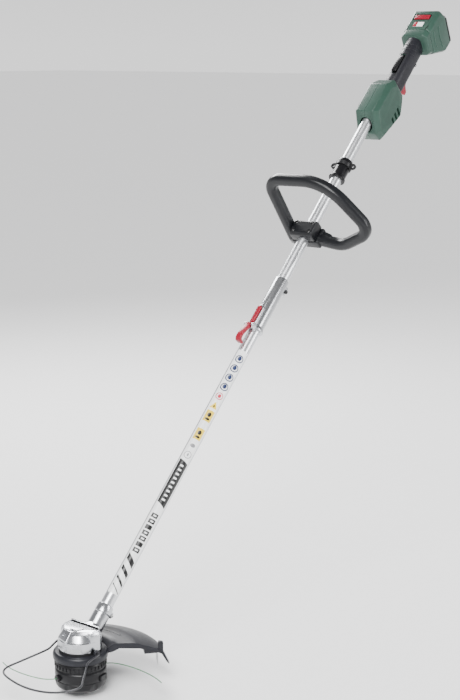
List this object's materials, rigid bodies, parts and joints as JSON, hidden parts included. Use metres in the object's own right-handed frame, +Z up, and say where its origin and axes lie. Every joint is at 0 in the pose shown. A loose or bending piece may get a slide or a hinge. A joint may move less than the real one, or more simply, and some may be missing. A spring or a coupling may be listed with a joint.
{
  "type": "string trimmer",
  "caption": "Cordless straight-shaft grass trimmer with a front motor head, bump-feed line spool, debris guard, loop handle, split shaft and rear grip with battery pack.",
  "frame": {"origin": "centre of the bump knob's flat underside, where the head touches the ground", "axes": "+Z up along the spool's axis, +X level towards the user, so the shaft climbs from the origin in the XZ plane at 45 degrees; +Y to the user's left-hand side of the loop"},
  "size_m": [1.3931, 0.3204, 1.274],
  "materials": {
    "housing_silver": "satin moulded",
    "black_plastic": "moulded",
    "dark_plastic": "fine grained",
    "guard_plastic": "fine grained",
    "green_plastic": "satin moulded",
    "red_plastic": "satin moulded",
    "grip_rubber": "soft textured",
    "tube_metal": "bright satin",
    "steel": "zinc plated",
    "spring_steel": "drawn wire",
    "copper_core": "enamelled winding",
    "line_nylon": "extruded nylon",
    "board_green": "coated board",
    "base_grey": "moulded"
  },
  "bodies": {
    "handle_unit": {"upper_tube": "tube_metal", "handle_cable": "black_plastic", "power_socket": "black_plastic", "coupling_sleeve": "tube_metal", "button_spring": "spring_steel", "lever_pin": "steel", "coupling_screw": "steel", "coupling_nut": "steel", "rear_housing_left": "green_plastic", "rear_housing_right": "green_plastic", "housing_screws": "steel", "grip_panels": "grip_rubber", "trigger_pin": "steel", "lock_off_pin": "steel", "switch_module": "black_plastic", "control_board": "board_green", "terminal_block": "black_plastic"},
    "lower_shaft": {"lower_tube": "tube_metal", "motor_cable": "black_plastic", "power_plug": "black_plastic", "motor_housing": "housing_silver", "motor_base": "black_plastic", "head_screws": "steel", "neck_screw": "steel", "motor_stator": "copper_core", "motor_bearings": "steel", "guard": "guard_plastic", "guard_screws": "steel", "line_cutter": "steel", "cutter_screws": "steel"},
    "spool": {"motor_rotor": "steel", "motor_shaft": "steel", "spool_drum": "black_plastic", "spool_cover": "black_plastic", "line_reel": "dark_plastic", "wound_line": "line_nylon", "knob_spring": "spring_steel", "line_eyelets": "steel", "cutting_line_a": "line_nylon", "cutting_line_b": "line_nylon", "drive_nut": "steel"},
    "bump_knob": {"bump_knob": "dark_plastic"},
    "plant_guard": {"plant_guard": "dark_plastic"},
    "coupling_lever": {"coupling_lever": "red_plastic"},
    "coupling_button": {"coupling_button": "red_plastic"},
    "loop_handle": {"loop_handle": "dark_plastic", "handle_cap": "dark_plastic", "handle_screws": "steel"},
    "strap_collar": {"strap_collar": "dark_plastic", "strap_hanger": "dark_plastic"},
    "trigger": {"trigger": "red_plastic"},
    "lock_off_lever": {"lock_off_lever": "black_plastic"},
    "battery": {"battery_shell": "green_plastic", "battery_base": "base_grey", "battery_cells": "steel", "battery_button_spring": "spring_steel", "battery_badge": "tube_metal"},
    "battery_button": {"battery_button": "red_plastic"}
  },
  "joints": [
    {"name": "shaft_split", "type": "slide", "parent": "handle_unit", "child": "lower_shaft", "axis": [-0.7071, 0, -0.7071], "range_m": [0, 0.06]},
    {"name": "spool_spin", "type": "hinge", "parent": "lower_shaft", "child": "spool", "pos_m": [0, 0, 0], "axis": [0, 0, 1], "continuous": true},
    {"name": "bump_press", "type": "slide", "parent": "spool", "child": "bump_knob", "axis": [0, 0, 1], "range_m": [0, 0.0055], "stiffness_N_per_m": 3000, "springref_m": -0.003, "deforming": ["knob_spring"]},
    {"name": "plant_guard_fold", "type": "hinge", "parent": "lower_shaft", "child": "plant_guard", "pos_m": [-0.005, 0, 0.088], "axis": [0, 1, 0], "range_deg": [0, 110]},
    {"name": "coupling_lever_flip", "type": "hinge", "parent": "handle_unit", "child": "coupling_lever", "pos_m": [0.51689, 0, 0.62625], "axis": [0, 1, 0], "range_deg": [0, 80]},
    {"name": "coupling_button_press", "type": "slide", "parent": "handle_unit", "child": "coupling_button", "axis": [0.7071, 0, -0.7071], "range_m": [0, 0.003], "stiffness_N_per_m": 1500, "springref_m": -0.002},
    {"name": "loop_handle_slide", "type": "slide", "parent": "handle_unit", "child": "loop_handle", "axis": [0.7071, 0, 0.7071], "range_m": [-0.06, 0.06]},
    {"name": "strap_collar_slide", "type": "slide", "parent": "handle_unit", "child": "strap_collar", "axis": [0.7071, 0, 0.7071], "range_m": [-0.02, 0.05]},
    {"name": "trigger_squeeze", "type": "hinge", "parent": "handle_unit", "child": "trigger", "pos_m": [1.0649, 0, 1.08799], "axis": [0, -1, 0], "range_deg": [0, 10], "stiffness_Nm_per_rad": 0.6, "springref_deg": -11.46},
    {"name": "lock_off_press", "type": "hinge", "parent": "handle_unit", "child": "lock_off_lever", "pos_m": [1.09743, 0, 1.16577], "axis": [0, -1, 0], "range_deg": [0, 8], "stiffness_Nm_per_rad": 0.4, "springref_deg": -11.46},
    {"name": "battery_slide", "type": "slide", "parent": "handle_unit", "child": "battery", "axis": [-0.4305, 0, 0.9026], "range_m": [0, 0.07]},
    {"name": "battery_button_press", "type": "slide", "parent": "battery", "child": "battery_button", "axis": [0.7071, 0, -0.7071], "range_m": [0, 0.0018], "stiffness_N_per_m": 2000, "springref_m": -0.0015}
  ]
}
